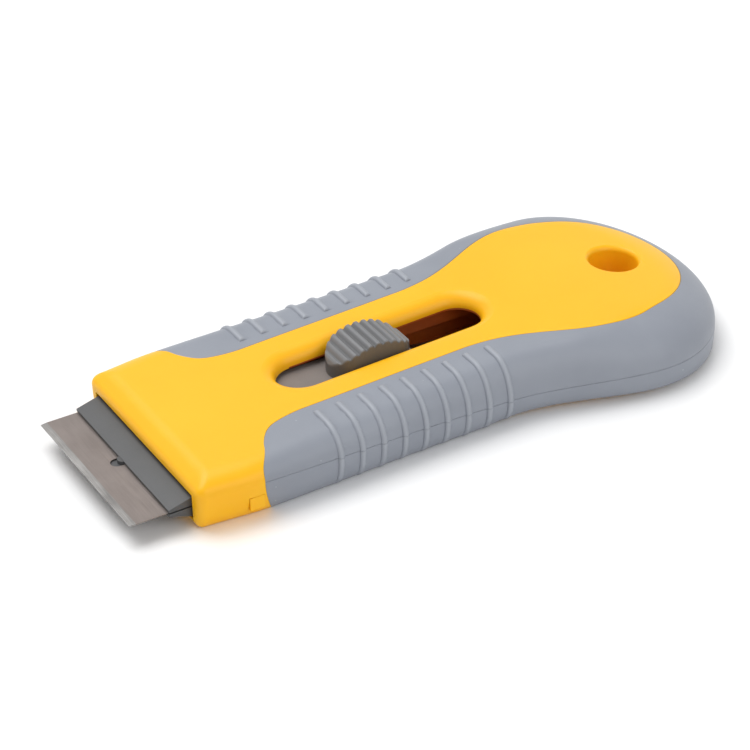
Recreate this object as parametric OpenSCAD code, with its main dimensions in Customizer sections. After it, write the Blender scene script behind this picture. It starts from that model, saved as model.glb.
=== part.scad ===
// Retractable razor blade scraper: two moulded shells with a soft grip,
// a sliding blade carriage, a hinged clamp jaw and a sprung thumb button.
// X runs from the blade to the tail, Y across, Z up from the table. Millimetres.

/* [Body outline] */
// length from the mouth face to the tail end
body_length = 124.5; // [100:0.5:160]
// how much wider the shoulder ahead of the grip is than the mouth, on each side
shoulder_swell = 1.1; // [0:0.1:3]
// half width of the waist between the ribs
half_width_waist = 23.5; // [22:0.1:32]
// half width of the round tail
half_width_tail = 29.9; // [24:0.1:36]
// where the shoulder is widest
shoulder_x = 12.5; // [8:0.5:20]
// where the waist is narrowest
waist_at = 58; // [40:0.5:64]
// where the waist starts to flare into the tail
flare_at = 67; // [64:0.5:80]
// where the tail is widest
tail_at = 99.7; // [85:0.1:115]

/* [Body height] */
// height of the top surface, carried forward to the mouth face
top_height_mouth = 10.97; // [9:0.05:16]
// how far the top surface rises over the whole body
top_rise = 4.5; // [0:0.1:8]
// how far the tail end of the top surface drops again
tail_drop = 4.4; // [0:0.1:6]
// where that drop starts
drop_at = 80; // [60:1:100]
// height of the seam between the halves at the mouth
seam_height_front = 8.1; // [6:0.1:10]
// height of the seam at the tail end, before it is lifted with the tail
seam_height_tail = 3.7; // [3:0.1:8]
// how far the seam is lifted round the tail
seam_lift = 0.95; // [0:0.05:2]
// how far the bottom edge is lifted off the table along the tail
tail_lift = 1.4; // [0:0.1:2]
// edge rounding of the top, measured across, at the front and along the grip
edge_round_grip = 5.3; // [2:0.1:9]
// edge rounding of the top round the tail
edge_round_tail = 11.5; // [4:0.1:14]
// edge rounding of the bottom along the grip
edge_round_bottom = 2.7; // [1:0.1:5]
// edge rounding of the bottom round the tail
edge_round_bottom_tail = 0.3; // [0.2:0.1:3]

/* [Mouth] */
// height of the inner edge of the upper lip
lip_height = 7.2; // [6:0.1:9]
// thickness of the floor of the mouth and handle
floor_thickness = 1.8; // [1.2:0.1:3]
// length of the bevel above the lip
bevel_length = 2.6; // [1:0.1:5]
// slope of the bevel above the lip, in degrees
bevel_slope = 40; // [25:1:50]
// rounding of the front face
nose_round = 2.2; // [0.5:0.1:2.4]
// rounding of the upright front corners
nose_corner = 1.9; // [0.5:0.1:2.4]
// room beside the blade in the mouth, on each side
mouth_play = 0.8; // [0.5:0.1:2]
// wall at each side of the mouth
mouth_wall = 3.1; // [2:0.1:5]

/* [Grip] */
// thickness of the soft grip
grip_thickness = 1.7; // [1:0.1:2.5]
// gap between bonded pieces
bond_gap = 0.05; // [0.02:0.01:0.1]
// where the grip starts behind the mouth sleeve
grip_front_x = 13.2; // [11:0.1:20]
// where the front curve of the grip boundary ends
grip_curve_x = 28; // [20:0.5:35]
// how far the front of the grip leans back at the top edge
front_lean_top = 2.5; // [0:0.1:3]
// how far the front of the grip leans back at the bottom edge
front_lean_bottom = 2; // [0:0.1:3]
// inset of the grip boundary at the very front
inset_front = 3.2; // [1:0.1:6]
// inset of the grip boundary at the first rib
inset_grip = 11.9; // [6:0.1:14]
// inset of the grip boundary at the last ribs
inset_waist = 11.1; // [6:0.1:14]
// inset of the grip boundary at the neck
inset_neck = 7.4; // [4:0.1:10]
// inset of the grip boundary at the sides of the tail
inset_tail = 9.6; // [4:0.1:12]
// inset of the grip boundary at the tail end
inset_end = 5.2; // [4:0.1:12]
// where the boundary starts to move outwards to the neck
neck_start_at = 63; // [50:1:75]
// where the boundary is at its neck inset
neck_at = 86; // [80:1:95]
// where the boundary is at its tail inset
broad_at = 106; // [101:1:112]
// inset of the lower grip under the bottom
inset_bottom = 3; // [2.8:0.1:6]
// number of ribs on each side
rib_count = 9; // [3:1:12]
// place of the first rib
first_rib_at = 29.4; // [20:0.1:40]
// distance between ribs
rib_spacing = 4.72; // [3:0.02:8]
// height of a rib
rib_height = 0.5; // [0.2:0.05:1.2]
// width of a rib at its foot
rib_width = 1.4; // [0.8:0.1:3]
// width of a rib at its crest
rib_crest = 0.6; // [0.3:0.1:1.5]

/* [Thumb slot] */
// room ahead of the button at its forward stop
slot_front_play = 3; // [0.5:0.1:4]
// room behind the button at its rear stop
slot_rear_play = 1; // [0.5:0.1:4]
// half width of the slot
slot_half_width = 5; // [4:0.1:7]
// width of the rounded slot rim
slot_rim = 3.3; // [0.5:0.1:4]
// depth of the rounded slot rim
slot_rim_depth = 2.8; // [0.5:0.1:2.9]

/* [Hang hole] */
// place of the hang hole
hole_at = 106.9; // [95:0.1:112]
// radius of the hang hole
hole_radius = 5; // [3:0.1:6]
// rounding of the hole rim
hole_rim = 1.2; // [0.3:0.1:2]
// wall of the tube round the hole
hole_wall = 2; // [1.5:0.1:3]

/* [Blade] */
// width of the blade
blade_width = 39; // [38:0.1:40]
// depth of the blade from edge to back
blade_depth = 19; // [18:0.1:22]
// thickness of the blade
blade_thickness = 0.3; // [0.2:0.05:0.5]
// depth of the ground edge
blade_bevel = 1.4; // [0.5:0.1:3]
// how far the edge stands ahead of the mouth
blade_reach = 12.4; // [8:0.1:14]
// height of the middle of the blade
blade_height = 4.57; // [4:0.05:6]
// width of the slot in the blade
blade_slot_width = 2.6; // [2.4:0.1:5]
// length of the slot in the blade
blade_slot_length = 7.6; // [4:0.1:10]

/* [Carriage] */
// how far the locating peg shows ahead of the jaw lips
peg_peek = 0.8; // [0:0.1:1]
// how far the jaws stand past the blade, on each side
jaw_margin = 0.4; // [0.2:0.05:0.7]
// thickness of a jaw at its lip
jaw_lip_thickness = 0.55; // [0.3:0.05:1.2]
// half width of the carriage spine
spine_half_width = 9.5; // [8:0.1:12]
// running clearance of the slide
slide_clearance = 0.12; // [0.05:0.01:0.3]
// travel backwards from the working position
travel_back = 15.5; // [13:0.5:17]
// travel forwards from the working position
travel_forward = 8; // [4:0.5:9]

/* [Button] */
// middle of the button
button_at = 49.1; // [44:0.1:52]
// length of the domed button
button_length = 17.5; // [12:0.5:20]
// height of the dome above the table
button_top = 15.2; // [14:0.1:19]
// number of ridges
ridge_count = 11; // [5:1:14]
// depth of the ridges
ridge_depth = 0.55; // [0.2:0.05:1]
// how far the button goes down when pressed
press_travel = 0.8; // [0.5:0.1:1]
// how far the cover plate reaches ahead of the button
cover_reach = 13.3; // [2:0.1:14]

/* [Fasteners] */
// radius of the screw shank
screw_radius = 1.2; // [0.9:0.05:1.6]
// radius of the screw head
screw_head_radius = 2.3; // [1.8:0.1:3]
// height of the screw head
screw_head_height = 1.4; // [1:0.1:2]
// place of the two front screws along the body
front_screw_at = 37; // [34:0.5:60]
// distance of the front screws from the middle
front_screw_y = 15.2; // [14.5:0.1:16]
// place of the tail screw along the body
tail_screw_at = 117.6; // [116:0.1:119]

/* [Hidden] */
$fn = 48;
overrun = 0.5;
thin = 0.001;
pin_clearance = 0.05;
rim_lift = 0.05;
hole_lap = 0.12;
shift_x = (blade_reach - body_length) / 2;

// places along the body are given for this length and stretch with the body
station_length = 124.5;
function along(at) = at * body_length / station_length;
waist_x = along(waist_at);
flare_x = along(flare_at);
tail_x = along(tail_at);
tail_run = body_length - tail_x;
drop_x = along(drop_at);
neck_start_x = along(neck_start_at);
neck_x = along(neck_at);
broad_x = along(broad_at);
first_rib_x = along(first_rib_at);
rib_pitch = along(rib_spacing);
hole_x = along(hole_at);
button_x = along(button_at);
front_screw_x = along(front_screw_at);
tail_screw_x = along(tail_screw_at);

// widths set by the blade
mouth_half_width = blade_width / 2 + mouth_play;
half_width_mouth = mouth_half_width + mouth_wall;
half_width_shoulder = half_width_mouth + shoulder_swell;
jaw_half_width = blade_width / 2 + jaw_margin;

// skin sampling: steps round an edge, steps along the body, steps round the tail
edge_steps = 5;
plain_steps = 7;
tail_steps = 11;
crown_steps = 4;
corner_steps = 5;
edge_land = 1;
rib_end_share = 0.55;
rib_fade_share = 0.66;

// heights of the works
blade_half = blade_thickness / 2;
blade_seat = 0.02;
blade_low = blade_height - blade_half;
blade_high = blade_height + blade_half;
jaw_play = 0.3;
jaw_ceiling = lip_height - jaw_play;
jaw_floor = floor_thickness + slide_clearance;
jaw_ramp_x = 1.5;
jaw_rear_x = 11;
blade_back_x = blade_depth - blade_reach;
stop_length = 0.8;
stop_rise = 0.6;
blade_mid_x = blade_depth / 2 - blade_reach;
peg_play = 0.2;
peg_setback = 1.2;
peg_radius = blade_slot_width / 2 - peg_play;
peg_x = blade_mid_x - blade_slot_length / 2 + blade_slot_width / 2 + peg_setback;
peg_rise = 0.5;
pad_radius = 3.6;
pad_thickness = 0.5;
jaw_reach = peg_radius - peg_x - peg_peek;
pin_radius = 0.65;
pin_x = 9.3;
pin_z = (blade_high + jaw_ceiling) / 2 + pin_clearance;
ear_setback = 6.4;
knuckle_half = jaw_half_width - ear_setback;
pin_setback = 1.1;
pin_half = jaw_half_width - pin_setback;
block_rear_x = 14;
spine_step = 0.6;
spine_top = jaw_ceiling - spine_step;
spine_low = 4.7;
runner_width = 1.6;
runner_front_x = 15;
rail_width = 1.5;
rail_setback = 1;
rail_front_x = block_rear_x + travel_back + rail_setback;
rail_top = 5.2;
rail_y = spine_half_width + slide_clearance;
holder_y = 7;
holder_width = 1.6;

// heights and lengths of the button
button_half = button_length / 2;
flange_margin = 1;
flange_half_length = button_half + flange_margin;
cover_front_x = button_x - button_half - cover_reach;
flange_lap = 1.3;
slot_front_x = button_x - button_half - travel_forward - slot_front_play;
slot_rear_x = button_x + button_half + travel_back + slot_rear_play;
spine_end_x = button_x + flange_half_length;
flange_half_width = slot_half_width + flange_lap;
press_reserve = 0.15;
flange_low = spine_top + press_travel + press_reserve;
flange_height = 1;
neck_play = 0.25;
neck_half_width = slot_half_width - neck_play;
dome_side = 11.2;
post_radius = 2;
spring_width = 15;
spring_thickness = 0.45;
spring_lead = 14;
spring_front_x = button_x - spring_lead;
spring_flat = 5;
spring_bend_x = button_x + spring_flat;
spring_tail = 12.5;
spring_tip_x = spine_end_x + spring_tail;
spring_high = spine_low - slide_clearance;
tip_dip = 0.45;
notch_depth = 0.7;
notch_half = 1.1;

// hollow of the handle
hollow_front_x = rail_front_x - overrun;
hollow_room = 1.5;
hollow_rear_x = spring_tip_x + notch_half + travel_back + hollow_room;
rail_gap = 7;
rail_rear_x = hollow_rear_x - rail_gap;
hollow_wall = 5;
hollow_half_width = half_width_waist - hollow_wall;
ridge_margin = 1.2;
ridge_half_width = half_width_waist - inset_waist - ridge_margin;
top_wall = 3;
side_wall = 1.9;
side_drop = grip_thickness + side_wall;
flange_room = 0.8;
upper_front_x = cover_front_x - travel_forward - flange_room;
tail_hollow_radius = 15.4;
boss_radius = 3;
screw_seat = 1.1;
screw_tip = 8.9;
screw_gap = 0.04;
recess_width = 0.7;
recess_depth = 0.8;
recess_length = 2.8;

// latch of the lower shell in the side of the mouth sleeve
latch_length = 3.2;
latch_low = 2.3;
latch_high = 5;
latch_inset = 0.06;
latch_wall = 1.4;
latch_gap = 0.08;

function smooth(t) = t <= 0 ? 0 : t >= 1 ? 1 : t * t * (3 - 2 * t);
function blend(a, b, t) = a + (b - a) * t;

// plan outline of the body
function half_width(x) =
    x < shoulder_x ? blend(half_width_mouth, half_width_shoulder, smooth(x / shoulder_x))
    : x < flare_x ? blend(half_width_shoulder, half_width_waist,
        smooth((x - shoulder_x) / (waist_x - shoulder_x)))
    : blend(half_width_waist, half_width_tail, smooth((x - flare_x) / (tail_x - flare_x)));
function half_slope(x) = (half_width(x + overrun) - half_width(x - overrun)) / (2 * overrun);

// a station is [x, y, normal x, normal y] on the outline of the +Y side
function side_station(x) =
    let(s = half_slope(x), n = sqrt(1 + s * s))
    [x, half_width(x), -s / n, 1 / n];
function tail_station(a) =
    let(nx = sin(a) / tail_run, ny = cos(a) / half_width_tail, n = sqrt(nx * nx + ny * ny))
    [tail_x + tail_run * sin(a), half_width_tail * cos(a), nx / n, ny / n];

// heights of the top, of the seam and of the bottom
function droop(x) = x <= drop_x ? 0 : pow((x - drop_x) / (body_length - drop_x), 2);
function top_z(x) = top_height_mouth + top_rise * x / body_length - tail_drop * droop(x);
function tail_share(x) = smooth((x - flare_x) / (tail_x - flare_x));
function seam_z(x) = blend(seam_height_front, seam_height_tail, x / body_length) + seam_lift * tail_share(x);
function edge_round(x) = blend(edge_round_grip, edge_round_tail, smooth((x - drop_x) / (tail_x - drop_x)));
function bottom_round(x) =
    blend(edge_round_bottom, edge_round_bottom_tail, tail_share(x));
function edge_lift(x) =
    tail_lift * sin(180 * min(1, max(0, (x - lift_x) / (body_length - overrun - lift_x))));
function bottom_z(x, d) = edge_lift(x) * (1 - smooth((d - inset_bottom) / (crown_inset - inset_bottom)));
function quarter(t) = t >= 1 ? 1 : t <= 0 ? 0 : sqrt(1 - (1 - t) * (1 - t));

// inset of the grip boundary from the outline
function front_inset(x) =
    let(t = (x - grip_front_x) / (grip_curve_x - grip_front_x),
        w = max(0, (x - grip_curve_x) / (neck_start_x - grip_curve_x)))
    blend(blend(inset_front, inset_grip, quarter(t)), inset_waist, sin(90 * w));
function tail_angle(x) = asin(min(1, (x - tail_x) / tail_run));
function inset(x) =
    x < neck_start_x ? front_inset(x)
    : x < neck_x ? blend(inset_waist, inset_neck, smooth((x - neck_start_x) / (neck_x - neck_start_x)))
    : x < broad_x ? blend(inset_neck, inset_tail, smooth((x - neck_x) / (broad_x - neck_x)))
    : blend(inset_tail, inset_end,
        smooth((tail_angle(x) - tail_angle(broad_x)) / (90 - tail_angle(broad_x))));

// the front of the grip leans back towards the top and the bottom edge
function lean_share(x) =
    x < grip_front_x ? smooth((x - nose_corner) / (grip_front_x - nose_corner))
    : 1 - smooth((x - grip_front_x) / lean_run);
function lean(x, z) =
    let(s = seam_z(x), up = min(1, max(0, (z - s) / (top_z(x) - s))), down = max(0, (s - z) / s))
    lean_share(x) * (front_lean_top * pow(up, 4) + front_lean_bottom * down * down);

// a point of the skin at inset d from the outline, lifted off it by a rib,
// sunk under it by the grip thickness
function plan(st, d) = [st[0] - d * st[2], st[1] - d * st[3]];
function upper_point(st, d, sink, lift) =
    let(p = plan(st, d), r = edge_round(st[0]) - sink, t = (d - sink) / r,
        c = min(1, max(0, 1 - t)), q = quarter(t),
        z = seam_z(p[0]) + (top_z(p[0]) - sink - seam_z(p[0])) * q)
    [p[0] + lean(p[0], z) + lift * c * st[2], p[1] + lift * c * st[3], z + lift * q];
function lower_point(st, d, sink, lift) =
    let(p = plan(st, d), r = max(core_round, bottom_round(st[0]) - sink * edge_share), t = (d - sink) / r,
        c = min(1, max(0, 1 - t)), q = quarter(t), s = seam_z(p[0]),
        z = s - (s - sink - bottom_z(st[0], d)) * q)
    [p[0] + lean(p[0], z) + lift * c * st[2], p[1] + lift * c * st[3], z];
edge_share = 0.5;
core_round = 0.3;
crown_inset = 10;
lift_at = 60;
lift_x = along(lift_at);
lean_run = 8.5;

// stations along one side
rib_half = rib_width / 2;
crest_half = rib_crest / 2;
function plain_x(a, b, n) = [for (i = [0 : n]) a + (b - a) * i / n];
front_xs = plain_x(grip_front_x, first_rib_x - rib_pitch / 2, plain_steps);
last_rib_x = first_rib_x + rib_pitch * (rib_count - 1);
rear_xs = plain_x(last_rib_x + rib_pitch / 2, tail_x, plain_steps);
rib_xs = [for (i = [0 : rib_count - 1]) for (o = [-rib_half, -crest_half, crest_half, rib_half])
    first_rib_x + i * rib_pitch + o];
tail_angles = [for (i = [1 : tail_steps]) i < tail_steps ? 90 * i / tail_steps : 90 - 90 / tail_steps / 6];
mid_xs = plain_x(first_rib_x + rib_pitch / 2, last_rib_x - rib_pitch / 2, plain_steps);

function stations(xs) = concat([for (x = xs) side_station(x)], [for (a = tail_angles) tail_station(a)]);
function rib_lift(x) =
    let(hits = [for (i = [0 : rib_count - 1]) if (abs(x - first_rib_x - i * rib_pitch) < rib_half - thin) 1])
    len(hits) > 0 ? rib_height : 0;

// ring points of one side, from the seam inwards
function edge_insets(first, last) =
    [for (i = [0 : edge_steps]) first + (last - first) * (1 - cos(90 * i / edge_steps))];
function outer_upper(st, gap, ribbed) =
    let(b = inset(st[0]) - gap, e = min(edge_round(st[0]), b - edge_land),
        l = ribbed ? rib_lift(st[0]) : 0)
    concat([for (d = edge_insets(0, e)) upper_point(st, d, 0, l)],
        [upper_point(st, blend(e, b, rib_end_share), 0, l),
            upper_point(st, blend(e, b, rib_fade_share), 0, 0), upper_point(st, b, 0, 0)]);
function core_upper(st, gap, sink) =
    let(b = inset(st[0]) + gap, e = max(sink + edge_land / 2, min(edge_round(st[0]), b - edge_land)))
    concat([for (d = edge_insets(sink, e)) upper_point(st, d, sink, 0)], [upper_point(st, b, sink, 0)]);
function outer_lower(st, gap, ribbed) =
    let(b = inset_bottom - gap, l = ribbed ? rib_lift(st[0]) : 0)
    concat([for (d = edge_insets(0, bottom_round(st[0]))) lower_point(st, d, 0, l)],
        [lower_point(st, b, 0, 0)]);
function core_lower(st, gap, sink) =
    let(b = inset_bottom + gap, e = max(sink + thin, b - edge_land / 2))
    concat([for (d = edge_insets(sink, e)) lower_point(st, d, sink, 0)], [lower_point(st, b, sink, 0)]);

function flip(p) = [p[0], -p[1], p[2]];
function reversed(l) = [for (i = [len(l) - 1 : -1 : 0]) l[i]];
function flat(l) = [for (a = l) for (b = a) b];

// faces of a skin through rings of n points; the ends are closed across
function side_faces(rings, n) =
    [for (r = [0 : rings - 2]) for (k = [0 : n - 1])
        for (f = [[r * n + k, (r + 1) * n + (k + 1) % n, r * n + (k + 1) % n],
            [r * n + k, (r + 1) * n + k, (r + 1) * n + (k + 1) % n]]) f];
function strip_faces(base, n, turn) =
    [for (k = [0 : n / 2 - 2])
        for (f = [[base + k, base + n - 2 - k, base + k + 1],
            [base + k, base + n - 1 - k, base + n - 2 - k]])
            turn ? reversed(f) : f];
module skin(rings) {
    n = len(rings[0]);
    polyhedron(points = flat(rings), faces = concat(side_faces(len(rings), n), strip_faces(0, n, true),
        strip_faces((len(rings) - 1) * n, n, false)));
}

// closed ring across the body from the points of its +Y side
function mirrored(side) = concat(side, [for (p = reversed(side)) flip(p)]);

// upper half under the grip, with the top panel standing up to the outer skin
function shell_upper_ring(st) =
    let(b = inset(st[0]) + bond_gap, c = max(b + edge_land / 2, edge_round(st[0])))
    mirrored(concat(core_upper(st, bond_gap, grip_thickness + bond_gap),
        [upper_point(st, b, 0, 0), upper_point(st, c, 0, 0)]));
function shell_lower_ring(st) =
    let(b = inset_bottom + bond_gap)
    reversed(mirrored(concat(core_lower(st, bond_gap, grip_thickness + bond_gap),
        [for (c = [0 : crown_steps]) lower_point(st, blend(b, crown_inset, c / crown_steps), 0, 0)])));
function sleeve_ring(x) =
    let(s = side_station(x), c = max(0, nose_corner - x), in = sqrt(nose_corner * nose_corner - c * c),
        st = [s[0], s[1] - nose_corner + in, s[2], s[3]])
    mirrored(concat(reversed([for (d = edge_insets(0, edge_round_bottom)) lower_point(st, d, 0, 0)]),
        [for (d = edge_insets(0, edge_round_grip)) if (d > 0) upper_point(st, d, 0, 0)]));

// grip ring: outer skin from the seam to the boundary, then back along the core
function grip_upper_ring(st) =
    concat(outer_upper(st, bond_gap, true), reversed(core_upper(st, -bond_gap, grip_thickness)));
function grip_lower_ring(st) =
    reversed(concat(outer_lower(st, bond_gap, true), reversed(core_lower(st, -bond_gap, grip_thickness))));

corner_xs = [for (i = [0 : corner_steps - 1]) nose_corner * (1 - cos(90 * i / corner_steps))];
sleeve_xs = concat(corner_xs, plain_x(nose_corner, grip_front_x, plain_steps));
shell_xs = concat([for (x = front_xs) x], mid_xs, rear_xs);
grip_xs = concat(front_xs, rib_xs, rear_xs);
function sunk(xs, gap) = [for (i = [0 : len(xs) - 1]) i == 0 ? xs[0] + gap : xs[i]];
function round_trip(side) = concat(side, [for (r = reversed(side)) [for (p = r) flip(p)]]);

module cut_box(x0, x1, half, z0, z1) {
    translate([x0, -half, z0]) cube([x1 - x0, 2 * half, z1 - z0]);
}
module upright(x, y, r, z0, z1) {
    translate([x, y, z0]) cylinder(r = r, h = z1 - z0);
}
// prism across the body from points given as [x, z]
module across(points, half) {
    rotate([90, 0, 0]) translate([0, 0, -half]) linear_extrude(height = 2 * half) polygon(points);
}
// upright block with round ends
module stadium(x, half, r, z0, z1) {
    for (s = [-1, 1]) upright(x + s * (half - r), 0, r, z0, z1);
    cut_box(x - half + r, x + half - r, r, z0, z1);
}

// everything ahead of and above the rounded nose and its bevel
module nose_cut() {
    zt = top_z(bevel_length);
    touch = nose_round * (1 - sin(bevel_slope));
    zc = zt - tan(bevel_slope) * (bevel_length - touch) - nose_round * cos(bevel_slope);
    arc = [for (i = [0 : corner_steps]) let(a = (90 - bevel_slope) * i / corner_steps)
        [nose_round * (1 - cos(a)), zc + nose_round * sin(a)]];
    low = [for (a = [90 : -15 : 0]) [nose_round * (1 - cos(a)), nose_round - nose_round * sin(a)]];
    across(concat([[-overrun, -overrun], [nose_round, -overrun]], low, arc,
        [[bevel_length, zt], [bevel_length, button_top], [-overrun, button_top]]), 2 * half_width_tail);
}

// fillet and well of the thumb slot, laid along the sloping top
module slot_cut() {
    a = slot_front_x + slot_half_width;
    b = slot_rear_x - slot_half_width;
    za = top_z(a);
    pitch = atan((top_z(b) - za) / (b - a));
    half = [for (q = [0 : 15 : 90])
        [slot_half_width + slot_rim * (1 - sin(q)), slot_rim_depth * (cos(q) - 1)]];
    section = concat([[0, overrun], [slot_half_width + slot_rim, overrun]], half,
        [[slot_half_width, -top_wall - overrun], [0, -top_wall - overrun]]);
    translate([a, 0, za + rim_lift]) rotate([0, -pitch, 0]) {
        rotate_extrude() polygon(section);
        translate([(b - a) / cos(pitch), 0, 0]) rotate_extrude() polygon(section);
        for (m = [0, 1]) mirror([0, m, 0])
            rotate([90, 0, 90]) linear_extrude(height = (b - a) / cos(pitch)) polygon(section);
    }
}

// trumpet of the hang hole at one face
module hole_rim_cut() {
    inner = hole_radius - hole_lap;
    arc = [for (q = [0 : 15 : 90])
        [inner + (hole_rim + hole_lap) * (1 - sin(q)), hole_rim * (cos(q) - 1)]];
    top = [[0, overrun], [hole_radius + hole_rim, overrun]];
    rotate_extrude() polygon(concat(top, arc, [[0, -hole_rim]]));
}
module hole_cut() {
    tilt = atan((top_z(hole_x + hole_radius) - top_z(hole_x - hole_radius)) / (2 * hole_radius));
    upright(hole_x, 0, hole_radius, -overrun, button_top);
    translate([hole_x, 0, top_z(hole_x) + rim_lift]) rotate([0, -tilt, 0]) hole_rim_cut();
    translate([hole_x, 0, -rim_lift]) mirror([0, 0, 1]) hole_rim_cut();
}

// space for the jaws, the carriage, the button flange and the spring
module works_hollow() {
    zf = top_z(upper_front_x) - top_wall;
    zr = top_z(hollow_rear_x) - top_wall;
    cut_box(-overrun, hollow_front_x + overrun, mouth_half_width, floor_thickness, lip_height);
    across([[upper_front_x, floor_thickness], [upper_front_x, zf], [hollow_rear_x, zr],
        [hollow_rear_x, floor_thickness]], ridge_half_width);
    across([[hollow_front_x, floor_thickness], [hollow_front_x, top_z(hollow_front_x) - side_drop],
        [hollow_rear_x, top_z(hollow_rear_x) - side_drop], [hollow_rear_x, floor_thickness]],
        hollow_half_width);
}
module tail_hollow() {
    difference() {
        upright(hole_x, 0, tail_hollow_radius, floor_thickness,
            top_z(hole_x + tail_hollow_radius) - side_drop);
        upright(hole_x, 0, hole_radius + hole_wall, 0, button_top);
        upright(tail_screw_x, 0, boss_radius, 0, button_top);
    }
}
module screw_places() {
    for (s = [-1, 1]) translate([front_screw_x, s * front_screw_y, 0]) children();
    translate([tail_screw_x, 0, 0]) children();
}
// space of the latch that the lower shell holds in the side of the sleeve
module latch_space(grow) {
    x0 = grip_front_x - latch_length;
    y1 = half_width(x0) - latch_inset;
    y0 = y1 - grip_thickness - latch_wall;
    out = grow > 0 ? overrun : 0;
    high = latch_high - latch_low + 2 * grow;
    for (m = [0, 1]) mirror([0, m, 0]) translate([x0 - grow, y0 - grow, latch_low - grow]) {
        cube([latch_length + front_lean_bottom + grow, latch_wall + 2 * grow, high]);
        cube([latch_length - 2 * latch_gap + 2 * grow, y1 - y0 + grow + out, high]);
    }
}

module upper_shell() {
    color([1.0, 0.76, 0.18]) translate([shift_x, 0, 0]) {
        difference() {
            union() {
                skin([for (x = sleeve_xs) sleeve_ring(x)]);
                skin([for (st = stations(sunk(shell_xs, -overrun))) shell_upper_ring(st)]);
            }
            nose_cut();
            works_hollow();
            tail_hollow();
            slot_cut();
            hole_cut();
            latch_space(latch_gap);
            screw_places() translate([0, 0, -overrun])
                cylinder(r = screw_radius + screw_gap, h = screw_tip + 2 * overrun);
        }
        upper_ribs();
        upper_bosses();
    }
}
// two ribs under the top hold the carriage down
module upper_ribs() {
    za = top_z(rail_front_x) - top_wall + overrun / 2;
    zb = top_z(rail_rear_x) - top_wall + overrun / 2;
    low = spine_top + slide_clearance;
    for (s = [-1, 1]) translate([0, s * (holder_y + holder_width / 2), 0])
        across([[rail_front_x, low], [rail_front_x, za], [rail_rear_x, zb], [rail_rear_x, low]],
            holder_width / 2);
}
module upper_bosses() {
    for (s = [-1, 1]) translate([front_screw_x, s * front_screw_y, 0]) difference() {
        low = seam_z(front_screw_x - boss_radius);
        upright(0, 0, boss_radius, low, top_z(front_screw_x) - side_drop + overrun / 2);
        upright(0, 0, screw_radius + screw_gap, low - overrun, screw_tip + overrun);
    }
}

module lower_shell() {
    color([1.0, 0.70, 0.12]) translate([shift_x, 0, 0]) difference() {
        union() {
            difference() {
                skin([for (st = stations(sunk(shell_xs, bond_gap))) shell_lower_ring(st)]);
                works_hollow();
                tail_hollow();
            }
            lower_rails();
            lower_bosses();
            latch_space(0);
        }
        hole_cut();
        notches();
        screw_places() {
            translate([0, 0, -overrun]) cylinder(r = screw_head_radius + 2 * screw_gap,
                h = screw_seat + overrun + screw_head_height);
            cylinder(r = screw_radius + screw_gap, h = button_top);
        }
    }
}
module lower_rails() {
    for (s = [-1, 1]) translate([0, s * (rail_y + rail_width / 2), 0])
        cut_box(rail_front_x, rail_rear_x, rail_width / 2, floor_thickness - overrun, rail_top);
}
module lower_bosses() {
    for (s = [-1, 1]) upright(front_screw_x, s * front_screw_y, boss_radius, floor_thickness - overrun,
        seam_z(front_screw_x + boss_radius) - bond_gap);
}
// shallow grooves in the floor, one for each place where the slide stops
module notches() {
    for (o = [-travel_forward, 0, travel_back])
        across([[spring_tip_x + o - notch_half, floor_thickness + thin],
            [spring_tip_x + o, floor_thickness - notch_depth],
            [spring_tip_x + o + notch_half, floor_thickness + thin]], spring_width / 2 + overrun);
}

module upper_grip() {
    color([0.55, 0.57, 0.61]) translate([shift_x, 0, 0])
        grip_skin([for (st = stations(sunk(grip_xs, bond_gap))) grip_upper_ring(st)]);
}
module lower_grip() {
    color([0.51, 0.53, 0.57]) translate([shift_x, 0, 0])
        grip_skin([for (st = stations(sunk(grip_xs, bond_gap))) grip_lower_ring(st)]);
}
module grip_skin(side) {
    n = len(side[0]);
    m = len(side);
    tube = round_trip(side);
    polyhedron(points = flat(tube), faces = concat(side_faces(2 * m, n), strip_faces(0, n, true),
        strip_faces((2 * m - 1) * n, n, false)));
}

module slide_carriage() {
    low = [[-jaw_reach, blade_low - blade_seat], [-jaw_reach, blade_low - blade_seat - jaw_lip_thickness],
        [jaw_ramp_x, jaw_floor], [block_rear_x, jaw_floor], [block_rear_x, spine_top],
        [jaw_rear_x + stop_length, spine_top], [jaw_rear_x + stop_length, blade_low - blade_seat]];
    color([0.30, 0.31, 0.32]) translate([shift_x, 0, 0]) difference() {
        union() {
            across(low, jaw_half_width);
            cut_box(blade_back_x + blade_seat, blade_back_x + stop_length, knuckle_half, blade_low - overrun,
                blade_low + stop_rise);
            upright(peg_x, 0, peg_radius, blade_low - overrun, blade_high + peg_rise);
            upright(peg_x, 0, pad_radius, blade_low - blade_seat - pad_thickness, blade_low - blade_seat);
            hinge_ears();
            cut_box(block_rear_x - overrun, spine_end_x, spine_half_width, spine_low, spine_top);
            for (s = [-1, 1]) translate([0, s * (spine_half_width - runner_width / 2), 0])
                cut_box(runner_front_x, spine_end_x, runner_width / 2, jaw_floor, spine_top);
        }
        pin_line(pin_radius + pin_clearance, pin_half + pin_clearance);
        upright(button_x, 0, post_radius + pin_clearance, 0, button_top);
    }
}
module hinge_ears() {
    for (s = [-1, 1]) translate([0, s * (knuckle_half + 2.5 * edge_land), 0])
        cut_box(pin_x - 2 * pin_radius, jaw_rear_x + 2 * stop_length, 2 * edge_land, blade_low - overrun,
            jaw_ceiling);
}
module pin_line(r, half) {
    translate([pin_x, half, pin_z]) rotate([90, 0, 0]) cylinder(r = r, h = 2 * half);
}

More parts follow.
